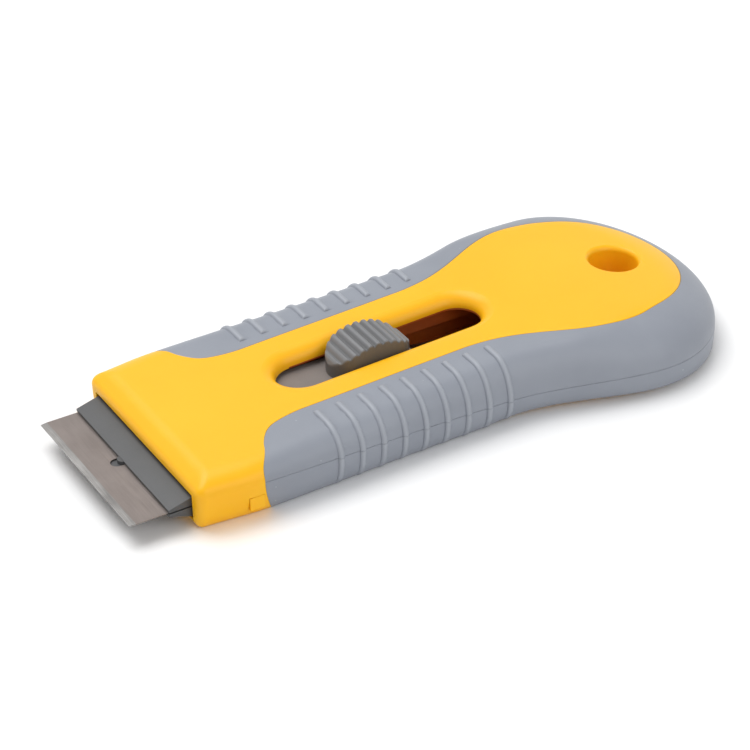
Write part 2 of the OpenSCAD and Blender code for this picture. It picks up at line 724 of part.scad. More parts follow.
module upper_jaw() {
    z0 = blade_high + blade_seat;
    up = [[-jaw_reach, z0], [jaw_rear_x, z0], [jaw_rear_x, jaw_ceiling], [jaw_ramp_x, jaw_ceiling],
        [-jaw_reach, z0 + jaw_lip_thickness]];
    color([0.36, 0.37, 0.38]) translate([shift_x, 0, 0]) difference() {
        across(up, jaw_half_width);
        upright(peg_x, 0, peg_radius + pin_clearance, 0, blade_high + peg_rise + pin_clearance);
        cut_box(blade_back_x - slide_clearance, blade_back_x + stop_length + slide_clearance,
            knuckle_half + slide_clearance, 0, blade_low + stop_rise + slide_clearance);
        for (s = [-1, 1]) translate([0, s * (knuckle_half + 2.5 * edge_land), 0])
            cut_box(pin_x - 2 * pin_radius - slide_clearance, jaw_rear_x + overrun, 2 * edge_land
                + slide_clearance, 0, button_top);
        pin_line(pin_radius + pin_clearance, jaw_half_width + overrun);
    }
}

module jaw_hinge_pin() {
    color([0.72, 0.73, 0.75]) translate([shift_x, 0, 0]) pin_line(pin_radius, pin_half);
}

module razor_blade() {
    edge = [[-blade_reach, blade_height], [blade_bevel - blade_reach, blade_low], [blade_back_x, blade_low],
        [blade_back_x, blade_high], [blade_bevel - blade_reach, blade_high]];
    run = (blade_slot_length - blade_slot_width) / 2;
    color([0.62, 0.60, 0.58]) translate([shift_x, 0, 0]) difference() {
        across(edge, blade_width / 2);
        for (o = [-run, run])
            upright(blade_mid_x + o, 0, blade_slot_width / 2, blade_low - overrun, blade_high + overrun);
        cut_box(blade_mid_x - run, blade_mid_x + run, blade_slot_width / 2, blade_low - overrun,
            blade_high + overrun);
    }
}

module thumb_button() {
    rise = button_top - dome_side;
    dome = (button_half * button_half + rise * rise) / (2 * rise);
    spread = asin(button_half / dome);
    count = 2 * ridge_count;
    crown = [for (i = [0 : count])
        let(a = spread - 2 * spread * i / count, r = i % 2 == 0 ? dome - ridge_depth : dome)
        [button_x + r * sin(a), button_top - dome + r * cos(a)]];
    color([0.45, 0.46, 0.47]) translate([shift_x, 0, 0]) {
        intersection() {
            across(concat([[button_x - button_half, flange_low + flange_height / 2],
                [button_x + button_half, flange_low + flange_height / 2]], crown), neck_half_width);
            stadium(button_x, button_half, neck_half_width, flange_low, button_top + overrun);
        }
        cut_box(cover_front_x, button_x + flange_half_length, flange_half_width, flange_low,
            flange_low + flange_height);
        upright(button_x, 0, post_radius, spring_high + bond_gap, flange_low + flange_height / 2);
    }
}

// leaf clipped under the spine; it carries the button post and its tip sits in a floor groove
module detent_spring() {
    t = spring_thickness;
    tip = floor_thickness - tip_dip;
    knee = floor_thickness + edge_land / 2;
    color([0.42, 0.40, 0.39]) translate([shift_x, 0, 0])
        across([[spring_front_x, spring_high], [spring_front_x, spring_high - t],
            [spring_bend_x, spring_high - t], [spring_tip_x - notch_half, knee - t / 2],
            [spring_tip_x, tip], [spring_tip_x + notch_half, knee], [spring_tip_x + notch_half, knee + t],
            [spring_tip_x, tip + 1.4 * t], [spring_tip_x - notch_half, knee + t / 2],
            [spring_bend_x, spring_high]], spring_width / 2);
}

module screw(x, y) {
    z0 = screw_seat;
    translate([shift_x + x, y, 0]) difference() {
        union() {
            upright(0, 0, screw_head_radius, z0, z0 + screw_head_height);
            upright(0, 0, screw_radius, z0, screw_tip);
        }
        for (a = [0, 90]) rotate(a) translate([-recess_length / 2, -recess_width / 2, z0 - overrun])
            cube([recess_length, recess_width, recess_depth + overrun]);
    }
}
module screw_front_left() {
    color([0.55, 0.55, 0.57]) screw(front_screw_x, front_screw_y);
}
module screw_front_right() {
    color([0.55, 0.55, 0.57]) screw(front_screw_x, -front_screw_y);
}
module screw_tail() {
    color([0.55, 0.55, 0.57]) screw(tail_screw_x, 0);
}

upper_shell();
lower_shell();
upper_grip();
lower_grip();
slide_carriage();
upper_jaw();
jaw_hinge_pin();
razor_blade();
thumb_button();
detent_spring();
screw_front_left();
screw_front_right();
screw_tail();
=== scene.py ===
import math

import bmesh
import bpy
from mathutils import Matrix, Vector


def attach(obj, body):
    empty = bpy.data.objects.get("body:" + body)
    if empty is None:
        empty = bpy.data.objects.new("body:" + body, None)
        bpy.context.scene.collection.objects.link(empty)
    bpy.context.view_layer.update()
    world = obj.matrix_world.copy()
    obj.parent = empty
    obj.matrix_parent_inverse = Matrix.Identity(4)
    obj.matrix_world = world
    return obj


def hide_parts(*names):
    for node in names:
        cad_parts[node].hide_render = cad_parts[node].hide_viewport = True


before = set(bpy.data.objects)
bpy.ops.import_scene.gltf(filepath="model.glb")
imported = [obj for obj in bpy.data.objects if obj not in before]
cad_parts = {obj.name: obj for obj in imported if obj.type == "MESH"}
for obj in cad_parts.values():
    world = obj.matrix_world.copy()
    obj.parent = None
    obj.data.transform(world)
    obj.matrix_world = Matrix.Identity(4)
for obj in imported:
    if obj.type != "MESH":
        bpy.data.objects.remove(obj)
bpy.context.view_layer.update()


# Lower shell: the tray under the handle, injection-moulded in satin yellow ABS.
# Its floor carries the slide rails, its rim takes the lower grip, and three
# screws pull it up against the upper shell. Sizes are millimetres from the mouth.
origin_x, body_length = 56.05, 124.5
shoulder_x, flare_x, tail_x = 12.5, 67, 99.7
waist_run, flare_run, tail_run = 45.5, 32.7, 24.8
mouth_half, shoulder_half, waist_half, tail_half = 23.4, 24.5, 23.5, 29.9
top_at_mouth, top_rise, droop_x, droop_run, droop_depth = 10.97, 4.5, 80, 44.5, 4.4
seam_front, seam_back, seam_lift = 8.1, 3.7, 0.95
bottom_edge, bottom_edge_tail, least_edge = 2.7, 0.3, 0.3
tail_lift, lift_x, lift_run, under_rim, under_run = 1.4, 60, 64, 3, 7
nose_corner, sleeve_end = 1.9, 13.2
lean_rise, lean_fall, lean_top, lean_bottom = 11.3, 8.5, 2.5, 2


def ease(t):
    t = min(1.0, max(0.0, t))
    return t * t * (3 - 2 * t)


def mix(a, b, t):
    return a + (b - a) * t


def tail_share(x):
    return ease((x - flare_x) / flare_run)


def handle_half_width(x):
    if x < shoulder_x:
        return mix(mouth_half, shoulder_half, ease(x / shoulder_x))
    if x < flare_x:
        return mix(shoulder_half, waist_half, ease((x - shoulder_x) / waist_run))
    return mix(waist_half, tail_half, tail_share(x))


# a station is a point of the outline in plan, with the outward direction there
def side_station(x):
    slope = handle_half_width(x + 0.5) - handle_half_width(x - 0.5)
    n = math.hypot(1, slope)
    return x, handle_half_width(x), -slope / n, 1 / n


def tail_station(angle):
    s, c = math.sin(angle), math.cos(angle)
    n = math.hypot(s / tail_run, c / tail_half)
    return tail_x + tail_run * s, tail_half * c, s / tail_run / n, c / tail_half / n


def top_height(x):
    droop = ((x - droop_x) / droop_run) ** 2 if x > droop_x else 0
    return top_at_mouth + top_rise * x / body_length - droop_depth * droop


def seam_height(x):
    return mix(seam_front, seam_back, x / body_length) + seam_lift * tail_share(x)


def bottom_round(x):
    return mix(bottom_edge, bottom_edge_tail, tail_share(x))


def bottom_height(x, inset):
    lift = tail_lift * math.sin(math.pi * min(1.0, max(0.0, (x - lift_x) / lift_run)))
    return lift * (1 - ease((inset - under_rim) / under_run))


def lean(x, z):
    if x < sleeve_end:
        share = ease((x - nose_corner) / lean_rise)
    else:
        share = 1 - ease((x - sleeve_end) / lean_fall)
    seam = seam_height(x)
    up = min(1.0, max(0.0, (z - seam) / (top_height(x) - seam)))
    down = max(0.0, (seam - z) / seam)
    return share * (lean_top * up ** 4 + lean_bottom * down ** 2)


def placed(station, inset, z):
    x, y = station[0] - inset * station[2], station[1] - inset * station[3]
    return x + lean(x, z), y, z


def quarter(t):
    t = min(1.0, max(0.0, t))
    return math.sqrt(1 - (1 - t) ** 2)


def lower_point(station, inset, sink=0.0):
    seam = seam_height(station[0] - inset * station[2])
    q = quarter((inset - sink) / max(least_edge, bottom_round(station[0]) - sink * 0.5))
    return placed(station, inset, seam - (seam - sink - bottom_height(station[0], inset)) * q)


def steps(first, last, count):
    return [first + (last - first) * i / count for i in range(count + 1)]


def arc_steps(first, last, count):
    return [first + (last - first) * (1 - math.cos(math.pi / 2 * i / count)) for i in range(count + 1)]


def mirrored(side):
    return side + [(x, -y, z) for x, y, z in reversed(side)]


def new_piece(name, points, faces):
    mesh = bpy.data.meshes.new(name)
    mesh.from_pydata([((x - origin_x) / 1000, y / 1000, z / 1000) for x, y, z in points], [], faces)
    piece = bpy.data.objects.new(name, mesh)
    bpy.context.scene.collection.objects.link(piece)
    return piece


def weld(piece, flatten=False):
    work = bmesh.new()
    work.from_mesh(piece.data)
    bmesh.ops.remove_doubles(work, verts=work.verts, dist=2e-6)
    bmesh.ops.dissolve_degenerate(work, edges=work.edges, dist=1e-6)
    if flatten:
        bmesh.ops.dissolve_limit(work, angle_limit=math.radians(1), verts=work.verts, edges=work.edges)
    bmesh.ops.recalc_face_normals(work, faces=work.faces)
    work.to_mesh(piece.data)
    work.free()
    return piece


# a skin through rings of points; a cap "across" joins each point to its mirror image
def skin_through(name, rings, caps=(True, True)):
    n = len(rings[0])
    faces = [(r * n + k, r * n + (k + 1) % n, (r + 1) * n + (k + 1) % n, (r + 1) * n + k)
             for r in range(len(rings) - 1) for k in range(n)]
    if caps[0] == "across":
        faces += [(k, k + 1, n - 2 - k, n - 1 - k) for k in range(n // 2 - 1)]
    elif caps[0]:
        faces.append(tuple(reversed(range(n))))
    if caps[1]:
        faces.append(tuple(range((len(rings) - 1) * n, len(rings) * n)))
    return new_piece(name, [p for ring in rings for p in ring], faces)


def prism_between(name, outline, y0, y1):
    return weld(skin_through(name, [[(x, y, z) for x, z in outline] for y in (y0, y1)]))


def prism_across(name, outline, half):
    return prism_between(name, outline, -half, half)


def block(name, x0, x1, y0, y1, z0, z1):
    corners = ((x0, y0), (x1, y0), (x1, y1), (x0, y1))
    return weld(skin_through(name, [[(x, y, z) for x, y in corners] for z in (z0, z1)]))


# a ring is turned by part of a step, so that no corner of a round tool falls on the shells' middle edge
def ring_at(x, y, radius, z, count=64):
    angles = [2 * math.pi * (i + 0.31) / count for i in range(count)]
    return [(x + radius * math.cos(a), y + radius * math.sin(a), z) for a in angles]


def turned(name, x, y, profile, count=64):
    return skin_through(name, [ring_at(x, y, r, z, count) for r, z in profile])


def bake(piece):
    graph = bpy.context.evaluated_depsgraph_get()
    mesh = bpy.data.meshes.new_from_object(piece.evaluated_get(graph))
    piece.modifiers.clear()
    worn_out, piece.data = piece.data, mesh
    bpy.data.meshes.remove(worn_out)
    mesh.name = piece.name
    return piece


def cut(piece, cutter, operation="DIFFERENCE"):
    modifier = piece.modifiers.new("cut", "BOOLEAN")
    modifier.operation, modifier.solver, modifier.object = operation, "EXACT", cutter
    bake(piece)
    bpy.data.objects.remove(cutter)
    return piece


def fair(piece, degrees):
    piece.data.shade_smooth()
    piece.data.set_sharp_from_angle(angle=math.radians(degrees))
    modifier = piece.modifiers.new("normals", "WEIGHTED_NORMAL")
    modifier.keep_sharp = True
    return bake(piece)


hole_x, hole_radius, hole_rim, rim_lift, clear_above = 106.9, 5, 1.2, 0.05, 17


def hang_hole():
    tilt = (top_height(hole_x + hole_radius) - top_height(hole_x - hole_radius)) / (2 * hole_radius)
    rings = []
    for q in steps(0, 90, 10):
        r = hole_radius + hole_rim * (1 - math.sin(math.radians(q)))
        drop = hole_rim * (1 - math.cos(math.radians(q)))
        rings.append(ring_at(hole_x, 0, r, rim_lift - drop))
    upper = [[(x, y, top_height(hole_x) + tilt * (x - hole_x) + z) for x, y, z in ring] for ring in rings]
    lower = [[(x, y, -z) for x, y, z in ring] for ring in rings]
    lid = [(x, y, clear_above) for x, y, z in rings[0]]
    foot = [(x, y, -1) for x, y, z in rings[0]]
    return weld(skin_through("hole_tool", [foot] + lower + list(reversed(upper)) + [lid]))


ridge_front, hollow_front, hollow_back = 18.25, 30, 89.45
ridge_half, hollow_half, top_wall, side_wall, floor_top = 11.2, 18.5, 3, 3.6, 1.8


def hollow_form(name, front, wall, half, z0):
    roof = [(x, top_height(x) - wall) for x in (hollow_back, front)]
    return prism_across(name, [(front, z0), (hollow_back, z0)] + roof, half)


def works_hollow(z0):
    ridge = hollow_form("ridge_tool", ridge_front, top_wall, ridge_half, z0)
    return cut(ridge, hollow_form("side_tool", hollow_front, side_wall, hollow_half, z0), "UNION")


grip_start, shell_sink, shell_rim, under_flat = 13.25, 1.75, 3.02, 10
edge_drop, edge_soft, edge_land = 0.12, 0.04, 0.14
body_xs = steps(grip_start, 25.5, 30) + steps(26.2, tail_x, 70)
tail_angles = [math.pi / 2 * i / 48 for i in range(1, 49)]
body_stations = [side_station(x) for x in body_xs] + [tail_station(a) for a in tail_angles]


def lower_shell_ring(station):
    core = [lower_point(station, d, shell_sink) for d in arc_steps(shell_sink, shell_rim - 0.3, 8)]
    floor = lower_point(station, shell_rim)[2]
    edge = [lower_point(station, shell_rim, shell_sink), placed(station, shell_rim, floor + edge_drop),
            placed(station, shell_rim + edge_soft, floor + edge_soft)]
    flat = [shell_rim + edge_land] + steps(shell_rim + 0.8, under_flat, 8)
    return mirrored(core + edge + [lower_point(station, d) for d in flat])


jaw_room, jaw_room_end = 20.3, 30.6
lower_rings = [lower_shell_ring(s) for s in body_stations]
lower_shell = weld(skin_through("lower_shell_tray", lower_rings, ("across", False)))
jaw_tool = block("jaw_tool", 10, jaw_room_end, -jaw_room, jaw_room, floor_top, 9)
cut(lower_shell, weld(cut(works_hollow(floor_top), jaw_tool, "UNION"), flatten=True))

tail_well_radius, tube_radius, post_radius, bore_radius = 15.4, 7, 3, 1.24
screw_places = ((37, 15.2), (37, -15.2), (117.6, 0))
tail_well = turned("tail_tool", hole_x, 0, [(tail_well_radius, floor_top), (tail_well_radius, 12)])
for kept_x, kept_radius in ((hole_x, tube_radius), (screw_places[2][0], post_radius)):
    cut(tail_well, turned("post_tool", kept_x, 0, [(kept_radius, 0), (kept_radius, clear_above)]))
cut(lower_shell, tail_well)
cut(lower_shell, hang_hole())

root = 1.4
screw_well = [(2.75, -1), (2.75, 0), (2.5, 0.12), (2.38, 0.35), (2.38, 2.52), (bore_radius, 2.52),
              (bore_radius, clear_above)]
for screw_x, screw_y in screw_places:
    if screw_y:
        post = [(post_radius, root), (post_radius, seam_height(screw_x + post_radius))]
        cut(lower_shell, weld(turned("post_tool", screw_x, screw_y, post)), "UNION")
    cut(lower_shell, weld(turned("well_tool", screw_x, screw_y, screw_well, 48)))

rail_front, rail_back, rail_middle, rail_half, rail_top = 30.5, 82.45, 10.37, 0.75, 5.2
clip_front, clip_back, clip_low, clip_high, arm_back, arm_half = 10, 13.04, 2.3, 5, 15.2, 0.7
clip_skin, clip_outer, clip_inner, arm_inset = handle_half_width(clip_front), 0.06, 3.16, 2.46
for side in (-1, 1):
    rail_y = side * rail_middle
    rail = block("rail", rail_front, rail_back, rail_y - rail_half, rail_y + rail_half, root, rail_top)
    cut(lower_shell, rail, "UNION")
    y0, y1 = sorted((side * (clip_skin - clip_inner), side * (clip_skin - clip_outer)))
    clip = block("clip", clip_front, clip_back, y0, y1, clip_low, clip_high)
    arm_y = side * (clip_skin - arm_inset)
    arm = block("clip_arm", clip_front, arm_back, arm_y - arm_half, arm_y + arm_half, clip_low, clip_high)
    cut(lower_shell, cut(clip, arm, "UNION"), "UNION")

groove_half, groove_low, groove_high, groove_reach = 1.1, 1.1, 1.81, 8
for groove_x in (63.35, 71.35, 86.85):
    groove = [(groove_x - groove_half, groove_high), (groove_x, groove_low),
              (groove_x + groove_half, groove_high)]
    cut(lower_shell, prism_across("groove_tool", groove, groove_reach))
shell_crease = 32
fair(lower_shell, shell_crease)


def shader(name):
    material = bpy.data.materials.new(name)
    material.use_nodes = True
    tree = material.node_tree
    return material, tree, tree.nodes["Principled BSDF"]


# an input is named, with _ for a blank, or given by its number as i0, i1 and so on
def node(tree, kind, settings=None, **inputs):
    made = tree.nodes.new(kind)
    for key, value in (settings or {}).items():
        setattr(made, key, value)
    for key, value in inputs.items():
        by_number = key[0] == "i" and key[1:].isdigit()
        socket = made.inputs[int(key[1:]) if by_number else key.replace("_", " ")]
        if isinstance(value, bpy.types.NodeSocket):
            tree.links.new(value, socket)
        else:
            socket.default_value = value
    return made


def sums(tree, operation, a, b=0.0, clamp=False):
    settings = {"operation": operation, "use_clamp": clamp}
    return node(tree, "ShaderNodeMath", settings, i0=a, i1=b).outputs[0]


def spread(tree, value, low, high, out_low=0.0, out_high=1.0):
    return node(tree, "ShaderNodeMapRange", None, Value=value, From_Min=low, From_Max=high, To_Min=out_low,
                To_Max=out_high).outputs["Result"]


def tint(tree, factor, first, second):
    made = node(tree, "ShaderNodeMix", {"data_type": "RGBA"})
    tree.links.new(factor, made.inputs[0])
    for socket, value in ((made.inputs[6], first), (made.inputs[7], second)):
        if isinstance(value, bpy.types.NodeSocket):
            tree.links.new(value, socket)
        else:
            socket.default_value = (*value, 1)
    return made.outputs[2]


def add_sockets(group, in_out, kinds):
    for name, kind in kinds:
        group.interface.new_socket(name=name, in_out=in_out, socket_type="NodeSocket" + kind)


# moulded grain: the fine etched texture of a mould, and the slow cloudiness of the pigment
moulded_grain = bpy.data.node_groups.new("moulded_grain", "ShaderNodeTree")
add_sockets(moulded_grain, "INPUT", (("Vector", "Vector"), ("Grain", "Float"), ("Cloud", "Float")))
add_sockets(moulded_grain, "OUTPUT", (("Height", "Float"), ("Cloudiness", "Float")))
grain_in = moulded_grain.nodes.new("NodeGroupInput").outputs
grain_out = moulded_grain.nodes.new("NodeGroupOutput").inputs
fine = node(moulded_grain, "ShaderNodeTexNoise", None, Vector=grain_in["Vector"], Scale=grain_in["Grain"],
            Detail=2.0, Roughness=0.6)
slow = node(moulded_grain, "ShaderNodeTexNoise", None, Vector=grain_in["Vector"], Scale=grain_in["Cloud"],
            Detail=4.0, Roughness=0.55)
moulded_grain.links.new(fine.outputs[0], grain_out["Height"])
moulded_grain.links.new(spread(moulded_grain, slow.outputs[0], 0.3, 0.7), grain_out["Cloudiness"])


# gives a surface its roughness and relief, and returns the place and the cloudiness for its colour
def grained(tree, surface, grain, cloud, rough, bump=0.0, depth=0.00004):
    place = node(tree, "ShaderNodeTexCoord").outputs["Object"]
    made = node(tree, "ShaderNodeGroup", {"node_tree": moulded_grain}, Vector=place, Grain=grain,
                Cloud=cloud)
    height = made.outputs["Height"]
    tree.links.new(spread(tree, height, 0.3, 0.7, *rough), surface.inputs["Roughness"])
    if bump:
        relief = node(tree, "ShaderNodeBump", None, Strength=bump, Distance=depth, Height=height)
        tree.links.new(relief.outputs[0], surface.inputs["Normal"])
    return place, made.outputs["Cloudiness"]


yellow_abs, tree, surface = shader("yellow_abs")
cloud = grained(tree, surface, 5200.0, 55.0, (0.34, 0.44), 0.12)[1]
yellow = tint(tree, cloud, (0.97, 0.484, 0.005), (0.98, 0.508, 0.008))
tree.links.new(yellow, surface.inputs["Base Color"])
surface.inputs["Specular IOR Level"].default_value = 0.32
surface.inputs["Subsurface Weight"].default_value = 0.1
surface.inputs["Subsurface Radius"].default_value = (1.0, 0.42, 0.08)
surface.inputs["Subsurface Scale"].default_value = 0.001
lower_shell.data.materials.append(yellow_abs)

# inside the hollow the same plastic is given a deep brown tone, painted shade for the dark hollow that shows
# behind the button
inner_abs, tree, surface = shader("inner_abs")
cloud = grained(tree, surface, 900.0, 110.0, (0.4, 0.6))[1]
hollow_shade_tone = tint(tree, cloud, (0.36, 0.070, 0.008), (0.46, 0.105, 0.012))
tree.links.new(hollow_shade_tone, surface.inputs["Base Color"])


# faces inside the hollow get the painted shade material in place of the yellow
def paint_hollow_shade(piece):
    piece.data.materials.append(inner_abs)
    for face in piece.data.polygons:
        x, y, z = face.center.x * 1000 + origin_x, abs(face.center.y) * 1000, face.center.z * 1000
        along = ridge_front - 0.05 < x < hollow_back + 0.05
        face.material_index = int(along and y < hollow_half + 0.1 and 1 < z < top_height(x) - top_wall + 0.1)


paint_hollow_shade(lower_shell)
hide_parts("lower_shell")
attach(lower_shell, "handle")


# Lower grip: a soft grey rubber skin moulded round the lower shell, from the
# seam down over the bottom edge. Nine beads on each side give the fingers hold.
first_rib, rib_spacing, rib_count, rib_half, rib_height = 29.4, 4.72, 9, 0.67, 0.5
grip_rim, grip_sink = 2.98, 1.7
seam_nick = ((0.14, 0.01), (0.04, 0.05), (0.0, 0.16))


def grip_stations():
    xs = steps(grip_start, 25.5, 44) + [26.2, 27, 27.8]
    bead = [rib_half * math.sin(math.radians(a)) for a in steps(-90, 90, 16)]
    for rib in range(rib_count):
        xs += [first_rib + rib_spacing * rib + o for o in [-0.72] + bead + [0.72, 1.5, 2.36, 3.2]]
    side = [side_station(x) for x in xs + steps(71.2, tail_x, 36)]
    tail = [tail_station(math.pi * i / 96) for i in range(1, 96)]
    return side + tail + [(x, -y, nx, -ny) for x, y, nx, ny in reversed(side)]


# a grip ring is its points, the room each one leaves for a rib, and the way a rib pushes it
def lower_grip_ring(station):
    x, y, nx, ny = station
    r = bottom_round(x)
    outer = [(x - d * nx, y - d * ny, seam_height(x) - drop) for d, drop in seam_nick]
    rounding = arc_steps(0, r, 16)[1:]
    under = steps(r, grip_rim - edge_land, 5)[1:]
    outer += [lower_point(station, d) for d in rounding + under]
    room = [1.0] * len(seam_nick) + [1.0 - min(1.0, d / r) for d in rounding] + [0.0] * len(under)
    floor = lower_point(station, grip_rim)[2]
    edge = [placed(station, grip_rim - edge_soft, floor + edge_soft),
            placed(station, grip_rim, floor + edge_drop)]
    inner = [lower_point(station, d, grip_sink) for d in reversed(arc_steps(grip_sink, grip_rim, 8))]
    ring = outer + edge + inner
    return ring, room + [0.0] * (len(edge) + len(inner)), [(nx, ny, 0.0)] * len(ring)


def grip_skin(name, ring_maker):
    rings = [ring_maker(s) for s in grip_stations()]
    piece = skin_through(name, [r[0] for r in rings])
    work = bmesh.new()
    work.from_mesh(piece.data)
    bmesh.ops.recalc_face_normals(work, faces=work.faces)
    work.to_mesh(piece.data)
    work.free()
    room = piece.data.attributes.new("rib_room", "FLOAT", "POINT")
    room.data.foreach_set("value", [v for r in rings for v in r[1]])
    outward = piece.data.attributes.new("outward", "FLOAT_VECTOR", "POINT")
    outward.data.foreach_set("vector", [c for r in rings for v in r[2] for c in v])
    return piece


def realized(group, geometry, material):
    whole = node(group, "GeometryNodeRealizeInstances", None, Geometry=geometry).outputs[0]
    return node(group, "GeometryNodeSetMaterial", None, Geometry=whole, Material=material).outputs[0]


def run_tree(piece, group, values):
    modifier = piece.modifiers.new(group.name, "NODES")
    modifier.node_group = group
    for item in group.interface.items_tree:
        if item.in_out == "INPUT" and item.name in values:
            modifier[item.identifier] = values[item.name]
    return bake(piece)


# rib rows: pushes the skin out into evenly spaced beads, and marks how high each point is on one
rib_sizes = {"First Rib": (first_rib - origin_x) / 1000, "Rib Spacing": rib_spacing / 1000,
             "Rib Count": float(rib_count), "Rib Width": 2 * rib_half / 1000,
             "Rib Height": rib_height / 1000}
rib_rows = bpy.data.node_groups.new("rib_rows", "GeometryNodeTree")
add_sockets(rib_rows, "INPUT", [("Grip", "Geometry")] + [(size, "Float") for size in rib_sizes])
add_sockets(rib_rows, "INPUT", [("Rubber", "Material")])
add_sockets(rib_rows, "OUTPUT", [("Grip", "Geometry")])
rib_in = rib_rows.nodes.new("NodeGroupInput").outputs
rib_out = rib_rows.nodes.new("NodeGroupOutput").inputs
position = rib_rows.nodes.new("GeometryNodeInputPosition").outputs[0]
along = node(rib_rows, "ShaderNodeSeparateXYZ", None, Vector=position).outputs[0]
from_first = sums(rib_rows, "SUBTRACT", along, rib_in["First Rib"])
step_at = sums(rib_rows, "DIVIDE", from_first, rib_in["Rib Spacing"])
last_rib = sums(rib_rows, "SUBTRACT", rib_in["Rib Count"], 1.0)
nearest = sums(rib_rows, "MAXIMUM", sums(rib_rows, "ROUND", step_at), 0.0)
nearest = sums(rib_rows, "MINIMUM", nearest, last_rib)
away = sums(rib_rows, "ABSOLUTE", sums(rib_rows, "SUBTRACT", step_at, nearest))
away = sums(rib_rows, "MULTIPLY", away, rib_in["Rib Spacing"])
across_rib = sums(rib_rows, "DIVIDE", away, sums(rib_rows, "MULTIPLY", rib_in["Rib Width"], 0.5))
bead = sums(rib_rows, "SUBTRACT", 1.0, sums(rib_rows, "POWER", across_rib, 2.0))
bead = sums(rib_rows, "POWER", sums(rib_rows, "MAXIMUM", bead, 0.0), 0.6)
room_read = node(rib_rows, "GeometryNodeInputNamedAttribute", {"data_type": "FLOAT"}, Name="rib_room")
crest = sums(rib_rows, "MULTIPLY", bead, room_read.outputs[0])
lift = sums(rib_rows, "MULTIPLY", crest, rib_in["Rib Height"])
out_read = node(rib_rows, "GeometryNodeInputNamedAttribute", {"data_type": "FLOAT_VECTOR"}, Name="outward")
push = node(rib_rows, "ShaderNodeVectorMath", {"operation": "SCALE"}, Vector=out_read.outputs[0], Scale=lift)
raised = node(rib_rows, "GeometryNodeSetPosition", None, Geometry=rib_in["Grip"], Offset=push.outputs[0])
marked = node(rib_rows, "GeometryNodeStoreNamedAttribute", {"data_type": "FLOAT", "domain": "POINT"},
              Geometry=raised.outputs[0], Name="rib_crest", Value=crest)
rib_rows.links.new(realized(rib_rows, marked.outputs[0], rib_in["Rubber"]), rib_out["Grip"])


def raise_ribs(piece, rubber):
    piece.data.materials.append(rubber)
    run_tree(piece, rib_rows, {**rib_sizes, "Rubber": rubber})
    for spent in ("rib_room", "outward"):
        piece.data.attributes.remove(piece.data.attributes[spent])
    return fair(piece, 50)


# settled dust: a few pale specks that cling to soft rubber
settled_dust = bpy.data.node_groups.new("settled_dust", "ShaderNodeTree")
add_sockets(settled_dust, "INPUT", (("Vector", "Vector"), ("Spacing", "Float"), ("Size", "Float")))
add_sockets(settled_dust, "OUTPUT", [("Specks", "Float")])
dust_in = settled_dust.nodes.new("NodeGroupInput").outputs
dust_out = settled_dust.nodes.new("NodeGroupOutput").inputs
cells = node(settled_dust, "ShaderNodeTexVoronoi", None, Vector=dust_in["Vector"], Scale=dust_in["Spacing"])
near = sums(settled_dust, "LESS_THAN", cells.outputs["Distance"], dust_in["Size"])
lot = node(settled_dust, "ShaderNodeSeparateXYZ", None, Vector=cells.outputs["Color"]).outputs[0]
picked = sums(settled_dust, "GREATER_THAN", lot, 0.9)
settled_dust.links.new(sums(settled_dust, "MULTIPLY", near, picked), dust_out["Specks"])

grip_rubber, tree, surface = shader("grip_rubber")
place, cloud = grained(tree, surface, 4200.0, 70.0, (0.4, 0.52), 0.22, 0.00005)
dust = node(tree, "ShaderNodeGroup", {"node_tree": settled_dust}, Vector=place, Spacing=420.0, Size=0.06)
rubber_tone = tint(tree, cloud, (0.240, 0.259, 0.301), (0.267, 0.287, 0.330))
# the bead crests are painted lighter than the ground, a painted highlight along each rib
painted_crest_light = node(tree, "ShaderNodeAttribute", {"attribute_name": "rib_crest"}).outputs["Fac"]
rubber_tone = tint(tree, spread(tree, painted_crest_light, 0.35, 0.95), rubber_tone, (0.318, 0.339, 0.380))
specks = sums(tree, "MULTIPLY", dust.outputs[0], 0.5)
tree.links.new(tint(tree, specks, rubber_tone, (0.62, 0.64, 0.66)), surface.inputs["Base Color"])
surface.inputs["Sheen Weight"].default_value = 0.05
lower_grip = raise_ribs(grip_skin("lower_grip_skin", lower_grip_ring), grip_rubber)
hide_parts("lower_grip")
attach(lower_grip, "handle")


# Upper shell: the yellow top of the handle with the mouth sleeve at its front, one ABS moulding.
# The sleeve wraps all round the jaws; the top panel has the dished thumb slot and the hang hole.
top_edge, top_edge_tail, top_edge_run = 5.3, 11.5, 19.7
curve_x, neck_start_x, neck_x, broad_x = 28, 63, 86, 106
inset_front, inset_grip, inset_waist, inset_neck, inset_tail, inset_end = 3.2, 11.9, 11.1, 7.4, 9.6, 5.2
curve_run, waist_stretch, neck_run, broad_run = 14.8, 35, 23, 20
bond_gap = 0.02


def top_round(x):
    return mix(top_edge, top_edge_tail, ease((x - droop_x) / top_edge_run))


def tail_angle(x):
    return math.asin(min(1.0, (x - tail_x) / tail_run))


# how far the edge of the yellow panel lies in from the outline
def grip_inset(x):
    if x < neck_start_x:
        waist = math.sin(math.pi / 2 * max(0.0, (x - curve_x) / waist_stretch))
        return mix(mix(inset_front, inset_grip, quarter((x - sleeve_end) / curve_run)), inset_waist, waist)
    if x < neck_x:
        return mix(inset_waist, inset_neck, ease((x - neck_start_x) / neck_run))
    if x < broad_x:
        return mix(inset_neck, inset_tail, ease((x - neck_x) / broad_run))
    broad = tail_angle(broad_x)
    return mix(inset_tail, inset_end, ease((tail_angle(x) - broad) / (math.pi / 2 - broad)))


def upper_point(station, inset, sink=0.0):
    x = station[0] - inset * station[2]
    q = quarter((inset - sink) / (top_round(station[0]) - sink))
    return placed(station, inset, seam_height(x) + (top_height(x) - sink - seam_height(x)) * q)


nose_round, bevel_length, bevel_slope, nose_blend = 2.2, 2.6, math.radians(40), 0.9


